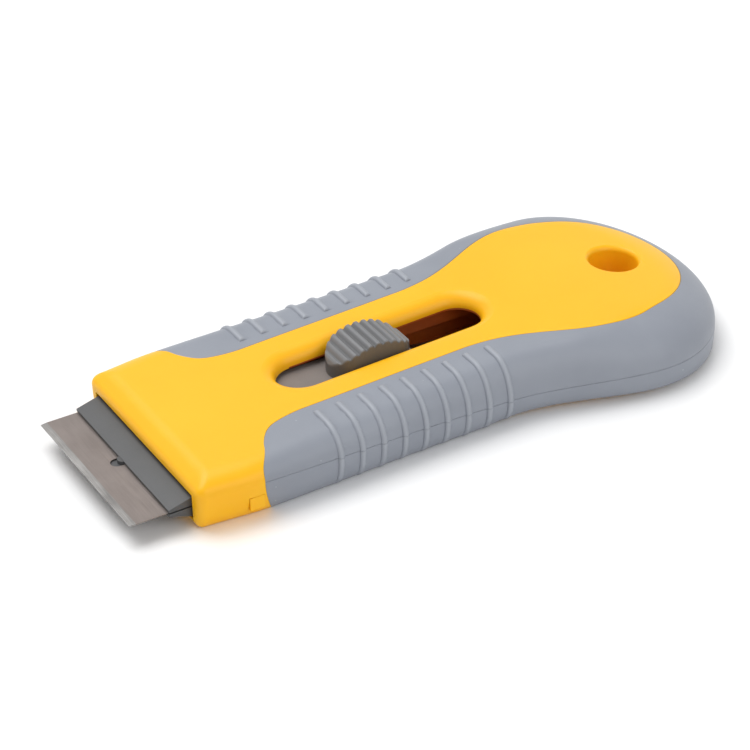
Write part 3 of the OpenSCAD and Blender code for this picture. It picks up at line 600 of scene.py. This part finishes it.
def nose_limits(x):
    low = nose_round - math.sqrt(max(0.0, nose_round ** 2 - max(0.0, nose_round - x) ** 2))
    touch = nose_round * (1 - math.sin(bevel_slope))
    facet = top_height(bevel_length) - math.tan(bevel_slope) * (bevel_length - x)
    centre = (top_height(bevel_length) - math.tan(bevel_slope) * (bevel_length - touch)
              - nose_round * math.cos(bevel_slope))
    arc = centre + math.sqrt(max(0.0, nose_round ** 2 - (nose_round - x) ** 2))
    return low, facet if x > touch else arc


def blended_under(z, limit):
    near = max(0.0, nose_blend - abs(z - limit)) / nose_blend
    return min(z, limit) - near * near * nose_blend / 4


lip = 3.22


def sleeve_ring(x):
    x, y, nx, ny = side_station(x)
    corner = math.sqrt(nose_corner ** 2 - max(0.0, nose_corner - x) ** 2)
    station = (x, y - nose_corner + corner, nx, ny)
    side = [lower_point(station, d) for d in [inset_front] + list(reversed(arc_steps(0, bottom_edge, 12)))]
    side += [upper_point(station, d) for d in arc_steps(0, top_edge, 24)[1:] if d < lip - 0.1]
    side += [upper_point(station, d) for d in [lip - 0.05] + steps(lip + 0.2, 5.9, 10)]
    low, high = nose_limits(x)
    return mirrored([(px, py, max(low, blended_under(pz, high))) for px, py, pz in side])


# a panel ring has as many points as a sleeve ring, so that one skin runs through both
def panel_ring(station, count):
    rim, crown = grip_inset(station[0]) + bond_gap, top_round(station[0])
    last = max(rim + 1.2, crown + 0.6)
    ledge = [(station[0] - d * station[2], station[1] - d * station[3]) for d in steps(4.6, shell_sink, 13)]
    side = [(x, y, seam_height(x)) for x, y in ledge]
    crown_steps, edge_points = 10, 2
    run = count - len(side) - (crown_steps + 1) - edge_points - 1
    side += [upper_point(station, d, shell_sink) for d in arc_steps(shell_sink, rim, run)[1:]]
    z = upper_point(station, rim)[2]
    side += [placed(station, rim, z - edge_drop), placed(station, rim + edge_soft, z - edge_soft)]
    side += [upper_point(station, d) for d in steps(rim + edge_land, last, crown_steps)]
    return mirrored([side[0]] * (count - len(side)) + side)


nose_xs = [nose_corner * (1 - math.cos(math.radians(a))) for a in steps(0, 90, 14)] + steps(2.05, 4.15, 14)
sleeve_rings = [sleeve_ring(x) for x in nose_xs + steps(4.5, sleeve_end, 16)]
ring_size = len(sleeve_rings[0]) // 2
panel_xs = [sleeve_end + curve_run * (1 - math.cos(math.radians(a))) for a in steps(0, 90, 30)]
panel_stations = [side_station(x) for x in panel_xs + steps(28.6, tail_x, 90)]
panel_stations += [tail_station(a) for a in tail_angles]
upper_rings = sleeve_rings + [panel_ring(s, ring_size) for s in panel_stations]
upper_shell = weld(skin_through("upper_shell_top", upper_rings, (True, False)))

slot_front, slot_back, slot_half, slot_rim, slot_depth = 34.35, 69.35, 5, 3.3, 2.8


def thumb_slot():
    slope = (top_height(slot_back) - top_height(slot_front)) / (slot_back - slot_front)
    ends = [math.radians(a) for a in steps(-90, 90, 30)]
    rings = []
    for q in steps(0, 90, 14):
        r = slot_half + slot_rim * (1 - math.sin(math.radians(q)))
        drop = slot_depth * (1 - math.cos(math.radians(q)))
        loop = [(slot_back + r * math.cos(a), r * math.sin(a)) for a in ends]
        loop += [(slot_front - r * math.cos(a), -r * math.sin(a)) for a in ends]
        rings.append([(x, y, top_height(slot_front) + slope * (x - slot_front) + rim_lift - drop)
                      for x, y in loop])
    lid = [(x, y, clear_above + 0.5) for x, y, z in rings[0]]
    foot = [(x, y, z - 0.6) for x, y, z in rings[-1]]
    return weld(skin_through("slot_tool", [foot] + list(reversed(rings)) + [lid]))


lip_height, lip_edge = 7.2, 0.3


def mouth_tool():
    turns = [math.radians(a) for a in steps(0, 90, 5)]
    flare = [(lip_edge * (1 - math.cos(a)), lip_edge * (1 - math.sin(a))) for a in turns]
    rings = []
    for x, grow in [(-1, lip_edge)] + flare + [(jaw_room_end, 0)]:
        y, z0, z1 = jaw_room + grow, floor_top - grow, lip_height + grow
        rings.append([(x, -y, z0), (x, y, z0), (x, y, z1), (x, -y, z1)])
    return weld(skin_through("mouth_tool", rings))


cut(upper_shell, works_hollow(-1))
cut(upper_shell, mouth_tool())
cut(upper_shell, thumb_slot())
cut(upper_shell, hang_hole())

# two ribs under the top hold the sled down, and two posts take the front screws
clip_play, window_inner, window_outer = 0.08, 3.3, 27
hold_low, hold_inner, hold_outer, hold_root, post_root = 6.42, 7, 8.6, 2.75, 3.35
hold_top = [(x, top_height(x) - hold_root) for x in (rail_back, rail_front)]
for side, (screw_x, screw_y) in zip((-1, 1), (screw_places[1], screw_places[0])):
    y0, y1 = sorted((side * (clip_skin - window_inner), side * window_outer))
    cut(upper_shell, block("clip_window", clip_front - clip_play, clip_back + clip_play, y0, y1,
                           clip_low - clip_play, clip_high + clip_play))
    y0, y1 = sorted((side * hold_inner, side * hold_outer))
    hold_rib = [(rail_front, hold_low), (rail_back, hold_low)] + hold_top
    cut(upper_shell, prism_between("hold_rib", hold_rib, y0, y1), "UNION")
    post = [(post_radius, seam_height(screw_x - post_radius)),
            (post_radius, top_height(screw_x) - post_root)]
    cut(upper_shell, weld(turned("post_tool", screw_x, screw_y, post)), "UNION")
for screw_x, screw_y in screw_places:
    bore = [(bore_radius, -0.5), (bore_radius, 9.4)]
    cut(upper_shell, weld(turned("bore_tool", screw_x, screw_y, bore, 48)))
fair(upper_shell, shell_crease)
upper_shell.data.materials.append(yellow_abs)
paint_hollow_shade(upper_shell)
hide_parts("upper_shell")
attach(upper_shell, "handle")


# Upper grip: the same soft rubber over the upper shell, one U-shaped skin that lies
# flush with the yellow top. Its beads run up from the seam and end short of the panel.
rib_end_share, rib_stop_share = 0.54, 0.65


def upper_grip_ring(station):
    x, y, nx, ny = station
    rim, crown = grip_inset(x) - bond_gap, top_round(x)
    bend = min(crown, rim - 1)
    end, stop = mix(bend, rim, rib_end_share), mix(bend, rim, rib_stop_share)
    insets = arc_steps(0, bend, 20)[1:] + steps(bend, end, 5)[1:]
    insets += [mix(end, stop, math.sin(math.radians(a))) for a in steps(15, 90, 5)]
    insets += steps(stop, rim - edge_land, 4)[1:]
    outer = [(x - d * nx, y - d * ny, seam_height(x) + rise) for d, rise in seam_nick]
    outer += [upper_point(station, d) for d in insets]
    room, out = [1.0] * len(seam_nick), [(nx, ny, 0.0)] * len(seam_nick)
    for d in insets:
        room.append(math.sqrt(max(0.0, 1 - max(0.0, (d - end) / (stop - end)) ** 2)))
        t = min(1.0, d / crown)
        out.append((nx * (1 - t), ny * (1 - t), quarter(t)))
    z = upper_point(station, rim)[2]
    edge = [placed(station, rim - edge_soft, z - edge_soft), placed(station, rim, z - edge_drop)]
    inner = [upper_point(station, d, grip_sink) for d in reversed(arc_steps(grip_sink, rim, 10))]
    spare = len(edge) + len(inner)
    return outer + edge + inner, room + [0.0] * spare, out + [(0.0, 0.0, 1.0)] * spare


upper_grip = raise_ribs(grip_skin("upper_grip_skin", upper_grip_ring), grip_rubber)
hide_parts("upper_grip")
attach(upper_grip, "handle")


# Slide carriage: the dark grey nylon sled that carries the blade. Its front is the lower jaw,
# and its flat spine runs back under the thumb slot, between the rails of the lower shell.
def softened(node_name, name, radius, segments=2):
    piece = bpy.data.objects.new(name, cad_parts[node_name].data.copy())
    bpy.context.scene.collection.objects.link(piece)
    piece.data.materials.clear()
    weld(piece, flatten=True)
    modifier = piece.modifiers.new("edges", "BEVEL")
    modifier.width, modifier.segments, modifier.limit_method = radius, segments, "ANGLE"
    modifier.angle_limit = math.radians(35)
    bake(piece)
    return fair(piece, 40)


nylon_edge = 0.00012
jaw_nylon, tree, surface = shader("jaw_nylon")
cloud = grained(tree, surface, 3800.0, 90.0, (0.38, 0.5), 0.15)[1]
dark_grey = tint(tree, cloud, (0.056, 0.058, 0.061), (0.070, 0.072, 0.075))
tree.links.new(dark_grey, surface.inputs["Base Color"])
carriage = softened("slide_carriage", "slide_sled", nylon_edge)
carriage.data.materials.append(jaw_nylon)
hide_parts("slide_carriage")
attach(carriage, "carriage")


# Leaf spring: a strip of tempered steel that lies under the spine of the sled.
# It lifts the button, and its bent tip clicks into grooves in the floor.
spring_edge = 0.00006
spring_steel, tree, surface = shader("spring_steel")
cloud = grained(tree, surface, 2600.0, 120.0, (0.3, 0.46))[1]
tempered = tint(tree, cloud, (0.30, 0.26, 0.22), (0.40, 0.35, 0.30))
tree.links.new(tempered, surface.inputs["Base Color"])
surface.inputs["Metallic"].default_value = 1.0
spring = softened("detent_spring", "leaf_spring", spring_edge)
spring.data.materials.append(spring_steel)
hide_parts("detent_spring")
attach(spring, "carriage")


# Razor blade: a single-edge strip of hardened steel, 39 mm wide, with a ground bevel and
# a round-ended slot that drops over the peg of the lower jaw.
blade_edge, ground_line, ground_blur = 0.00002, -0.06705, 0.00004
blade_steel, tree, surface = shader("blade_steel")
place = node(tree, "ShaderNodeTexCoord").outputs["Object"]
rolled = node(tree, "ShaderNodeMapping", None, Vector=place, Scale=(9000.0, 160.0, 160.0)).outputs[0]
lines = node(tree, "ShaderNodeTexNoise", None, Vector=rolled, Scale=1.0, Detail=3.0).outputs[0]
clouds = node(tree, "ShaderNodeTexNoise", None, Vector=place, Scale=160.0, Detail=3.0).outputs[0]
mottle = sums(tree, "ADD", lines, clouds)
from_edge = node(tree, "ShaderNodeSeparateXYZ", None, Vector=place).outputs[0]
ground = spread(tree, from_edge, ground_line + ground_blur, ground_line - ground_blur)
flat_tone = tint(tree, spread(tree, mottle, 0.7, 1.3), (0.197, 0.169, 0.156), (0.241, 0.209, 0.194))
ground_tone = tint(tree, spread(tree, mottle, 0.75, 1.25), (0.176, 0.169, 0.164), (0.306, 0.297, 0.288))
tree.links.new(tint(tree, ground, flat_tone, ground_tone), surface.inputs["Base Color"])
tree.links.new(spread(tree, lines, 0.3, 0.7, 0.3, 0.44), surface.inputs["Roughness"])
relief = node(tree, "ShaderNodeBump", None, Strength=0.12, Distance=0.00003, Height=lines)
tree.links.new(relief.outputs[0], surface.inputs["Normal"])
surface.inputs["Metallic"].default_value = 1.0
blade = softened("razor_blade", "steel_blade", blade_edge, 1)
blade.data.materials.append(blade_steel)
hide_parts("razor_blade")
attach(blade, "carriage")


# Upper jaw: the hinged wedge that clamps the blade down on the sled.
# It is moulded in the same nylon, and turns on the pin behind the blade.
upper_jaw = softened("upper_jaw", "clamp_jaw", nylon_edge)
upper_jaw.data.materials.append(jaw_nylon)
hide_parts("upper_jaw")
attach(upper_jaw, "carriage")


# Hinge pin: a plain length of zinc-plated steel wire. It passes through
# the ears of the sled and through the upper jaw.
zinc_steel, tree, surface = shader("zinc_steel")
cloud = grained(tree, surface, 3000.0, 400.0, (0.26, 0.42))[1]
zinc = tint(tree, cloud, (0.46, 0.46, 0.47), (0.60, 0.60, 0.61))
tree.links.new(zinc, surface.inputs["Base Color"])
surface.inputs["Metallic"].default_value = 1.0
hinge_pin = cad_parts["jaw_hinge_pin"]
hinge_pin.data.materials.clear()
hinge_pin.data.materials.append(zinc_steel)


# Thumb button: a grey nylon dome with eleven ridges, standing in the slot on a wide flange.
# Its post goes down through the spine of the sled to the leaf spring.
button_x, button_half, button_high, button_rise = 49.1, 8.75, 15.2, 4.0
button_straight, button_side, button_foot, button_waist = 4.0, 4.75, 7.9, 9.8
ridge_count, ridge_depth, ridge_slope, button_edge = 11, 0.55, 2.6, 0.32
dome_radius = (button_half ** 2 + button_rise ** 2) / (2 * button_rise)


def button_top(x):
    angle = math.asin(max(-1.0, min(1.0, (x - button_x) / dome_radius)))
    spread_angle = math.asin(button_half / dome_radius)
    phase = (angle + spread_angle) / (2 * spread_angle) * ridge_count
    wave = min(1.0, ridge_slope * min(phase % 1, 1 - phase % 1))
    r = dome_radius - ridge_depth * (1 - ease(wave))
    return button_high - dome_radius + r * math.cos(angle)


def button_half_width(x):
    past = max(0.0, abs(x - button_x) - button_straight)
    return math.sqrt(max(0.0, button_side ** 2 - past ** 2))


def button_section(x):
    w, z = max(0.02, button_half_width(x)), button_top(x)
    r = min(button_edge, w * 0.6)
    turns = [math.radians(a) for a in steps(15, 90, 5)]
    side = [(w, button_foot), (w, button_waist), (w, z - r)]
    side += [(w - r + r * math.cos(a), z - r + r * math.sin(a)) for a in turns]
    side += [(w * share - r * share, z) for share in (0.6, 0.2)]
    return [(x, y, h) for y, h in side] + [(x, -y, h) for y, h in reversed(side)]


end_xs = [button_straight + button_side * math.sin(math.radians(a)) for a in steps(0, 90, 60)]
straight_xs = steps(-button_straight, button_straight, 110)[1:-1]
button_xs = [button_x + x for x in [-x for x in reversed(end_xs)] + straight_xs + end_xs]
dome = fair(weld(skin_through("thumb_dome", [button_section(x) for x in button_xs])), 55)
flange_front, flange_back, flange_half, flange_low, flange_high = 27.05, 58.85, 6.3, 7.25, 8.25
flange = block("flange", flange_front, flange_back, -flange_half, flange_half, flange_low, flange_high)
modifier = flange.modifiers.new("edges", "BEVEL")
modifier.width, modifier.segments = 0.0003, 3
fair(bake(flange), 40)
post_profile = ((1.7, 4.63), (2, 4.93), (2, 7.6))
post = fair(weld(turned("post", button_x, 0, post_profile, 40)), 40)

# the ridge crests are painted lighter and the grooves darker, a painted highlight and painted shade measured
# out from the dome's pivot
dome_pivot = ((button_x - origin_x) / 1000, 0.0, 0.00363)
ridge_reach = (0.01105, 0.01148)
button_nylon, tree, surface = shader("button_nylon")
place, cloud = grained(tree, surface, 3600.0, 160.0, (0.36, 0.48), 0.15)
from_pivot = node(tree, "ShaderNodeVectorMath", {"operation": "SUBTRACT"}, i0=place,
                  i1=dome_pivot).outputs[0]
in_plane = node(tree, "ShaderNodeVectorMath", {"operation": "MULTIPLY"}, i0=from_pivot, i1=(1.0, 0.0, 1.0))
reach = node(tree, "ShaderNodeVectorMath", {"operation": "LENGTH"}, i0=in_plane.outputs[0]).outputs["Value"]
painted_crest_light = spread(tree, reach, *ridge_reach)
ridge_tone = tint(tree, painted_crest_light, (0.100, 0.101, 0.104), (0.183, 0.186, 0.193))
cloud_share = sums(tree, "MULTIPLY", cloud, 0.35)
tree.links.new(tint(tree, cloud_share, ridge_tone, (0.12, 0.12, 0.123)), surface.inputs["Base Color"])
dome.data.materials.append(button_nylon)

cover_nylon, tree, surface = shader("cover_nylon")
cloud = grained(tree, surface, 3600.0, 160.0, (0.46, 0.6))[1]
cover_grey = tint(tree, cloud, (0.172, 0.152, 0.142), (0.205, 0.183, 0.172))
tree.links.new(cover_grey, surface.inputs["Base Color"])
flange.data.materials.append(cover_nylon)
post.data.materials.append(cover_nylon)
button_parts = [dome, flange, post]
with bpy.context.temp_override(active_object=dome, object=dome, selected_objects=button_parts,
                               selected_editable_objects=button_parts):
    bpy.ops.object.join()
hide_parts("thumb_button")
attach(dome, "button")


# Screws: three zinc-plated cross-head screws, sunk in wells in the underside.
# They cut their own thread in the posts and hold the two shells together.
thread_turns, thread_pitch, thread_crest, thread_root = 15, 0.4, 1.2, 0.98
recess_long, recess_half, recess_low, recess_high = 1.4, 0.35, 0.6, 1.9
screw_tip = [(0.001, 8.9), (0.9, 8.8)]
root_start, crest_start, screw_turn = 2.65, 2.45, 0.7
screw_head = [(thread_root, root_start), (1.15, 2.5), (2.3, 2.5), (2.3, 1.5), (2.16, 1.22), (1.9, 1.1),
              (0.001, 1.1)]


def driver_slot(name, half_x, half_y):
    return block(name, origin_x - half_x, origin_x + half_x, -half_y, half_y, recess_low, recess_high)


def cross_screw():
    profile = list(screw_tip)
    for turn in range(thread_turns, 0, -1):
        profile += [(thread_root, root_start + turn * thread_pitch),
                    (thread_crest, crest_start + turn * thread_pitch)]
    screw = weld(turned("screw_form", origin_x, 0, profile + screw_head, 40))
    cross = driver_slot("driver_tool", recess_long, recess_half)
    cut(cross, driver_slot("driver_arm", recess_half, recess_long), "UNION")
    return fair(cut(screw, weld(cross, flatten=True)), 30)


screw_set = bpy.data.node_groups.new("screw_set", "GeometryNodeTree")
add_sockets(screw_set, "INPUT", (("Places", "Geometry"), ("Screw", "Object"), ("Turn Each", "Float"),
                                 ("Steel", "Material")))
add_sockets(screw_set, "OUTPUT", [("Screws", "Geometry")])
set_in = screw_set.nodes.new("NodeGroupInput").outputs
set_out = screw_set.nodes.new("NodeGroupOutput").inputs
form = node(screw_set, "GeometryNodeObjectInfo", None, Object=set_in["Screw"]).outputs["Geometry"]
number = screw_set.nodes.new("GeometryNodeInputIndex").outputs[0]
turn = sums(screw_set, "MULTIPLY", number, set_in["Turn Each"])
spin = node(screw_set, "ShaderNodeCombineXYZ", None, Z=turn).outputs[0]
set_down = node(screw_set, "GeometryNodeInstanceOnPoints", None, Points=set_in["Places"], Instance=form,
                Rotation=spin).outputs[0]
screw_set.links.new(realized(screw_set, set_down, set_in["Steel"]), set_out["Screws"])
screw_form = cross_screw()
screws = new_piece("shell_screws", [(x, y, 0) for x, y in screw_places], [])
run_tree(screws, screw_set, {"Screw": screw_form, "Turn Each": screw_turn, "Steel": zinc_steel})
bpy.data.objects.remove(screw_form)
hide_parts("screw_front_left", "screw_front_right", "screw_tail")
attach(screws, "handle")


# Studio: a pale floor that keeps the shadow, a white surround, one large soft box behind
# and above, a weaker one in front, and the camera where the photograph was taken.
floor_half, floor_height = 3000, -0.02
floor_corners = [(origin_x + floor_half * x, floor_half * y, floor_height)
                 for x, y in ((-1, -1), (1, -1), (1, 1), (-1, 1))]
floor = new_piece("studio_floor", floor_corners, [(0, 1, 2, 3)])


# 1 where the camera sees a surface, itself or in a mirror or glass, and 0 where it only lights
def seen_by_camera(tree):
    rays = tree.nodes.new("ShaderNodeLightPath").outputs
    mirrors = sums(tree, "ADD", rays["Is Glossy Ray"], rays["Is Transmission Ray"])
    return sums(tree, "ADD", rays["Is Camera Ray"], mirrors, clamp=True)


floor_paper = bpy.data.materials.new("floor_paper")
floor_paper.use_nodes = True
tree = floor_paper.node_tree
tree.nodes.clear()
paper_white = tint(tree, seen_by_camera(tree), (0.86, 0.86, 0.86), (1.0, 1.0, 1.0))
paper = node(tree, "ShaderNodeBsdfDiffuse", None, Color=paper_white).outputs[0]
polish = node(tree, "ShaderNodeBsdfGlossy", None, Color=(1, 1, 1, 1), Roughness=0.22).outputs[0]
glint = node(tree, "ShaderNodeFresnel", None, IOR=1.5).outputs[0]
table = node(tree, "ShaderNodeMixShader", None, i0=glint, i1=paper, i2=polish).outputs[0]
node(tree, "ShaderNodeOutputMaterial", None, Surface=table)
floor.data.materials.append(floor_paper)

world = bpy.data.worlds.new("white_surround")
bpy.context.scene.world = world
world.use_nodes = True
tree = world.node_tree
surround = tree.nodes["Background"].inputs
tree.links.new(spread(tree, seen_by_camera(tree), 0.0, 1.0, 0.47, 1.0), surround["Strength"])
surround["Color"].default_value = (1, 1, 1, 1)

for lamp_name, lamp_place, power in (("soft_box_back", (-0.14, 0.27, 0.72), 4.7),
                                     ("soft_box_front", (0.2, -0.75, 0.45), 2.0)):
    lamp = bpy.data.lights.new(lamp_name, "AREA")
    lamp.energy, lamp.size = power, 0.6
    holder = bpy.data.objects.new(lamp_name, lamp)
    bpy.context.scene.collection.objects.link(holder)
    holder.location = lamp_place
    holder.rotation_euler = (-Vector(lamp_place)).to_track_quat("-Z", "Y").to_euler()

camera = bpy.data.objects.new("photo_camera", bpy.data.cameras.new("photo_camera"))
bpy.context.scene.collection.objects.link(camera)
camera.data.sensor_width, camera.data.lens = 36.0, 129.782
camera.data.clip_start = 0.01
camera.matrix_world = Matrix(((0.86371, 0.29357, -0.40967, -0.222736),
                              (-0.50329, 0.45948, -0.73183, -0.388245),
                              (-0.02661, 0.83827, 0.5446, 0.293584),
                              (0, 0, 0, 1)))
bpy.context.scene.camera = camera
bpy.context.scene.view_settings.view_transform = "Standard"
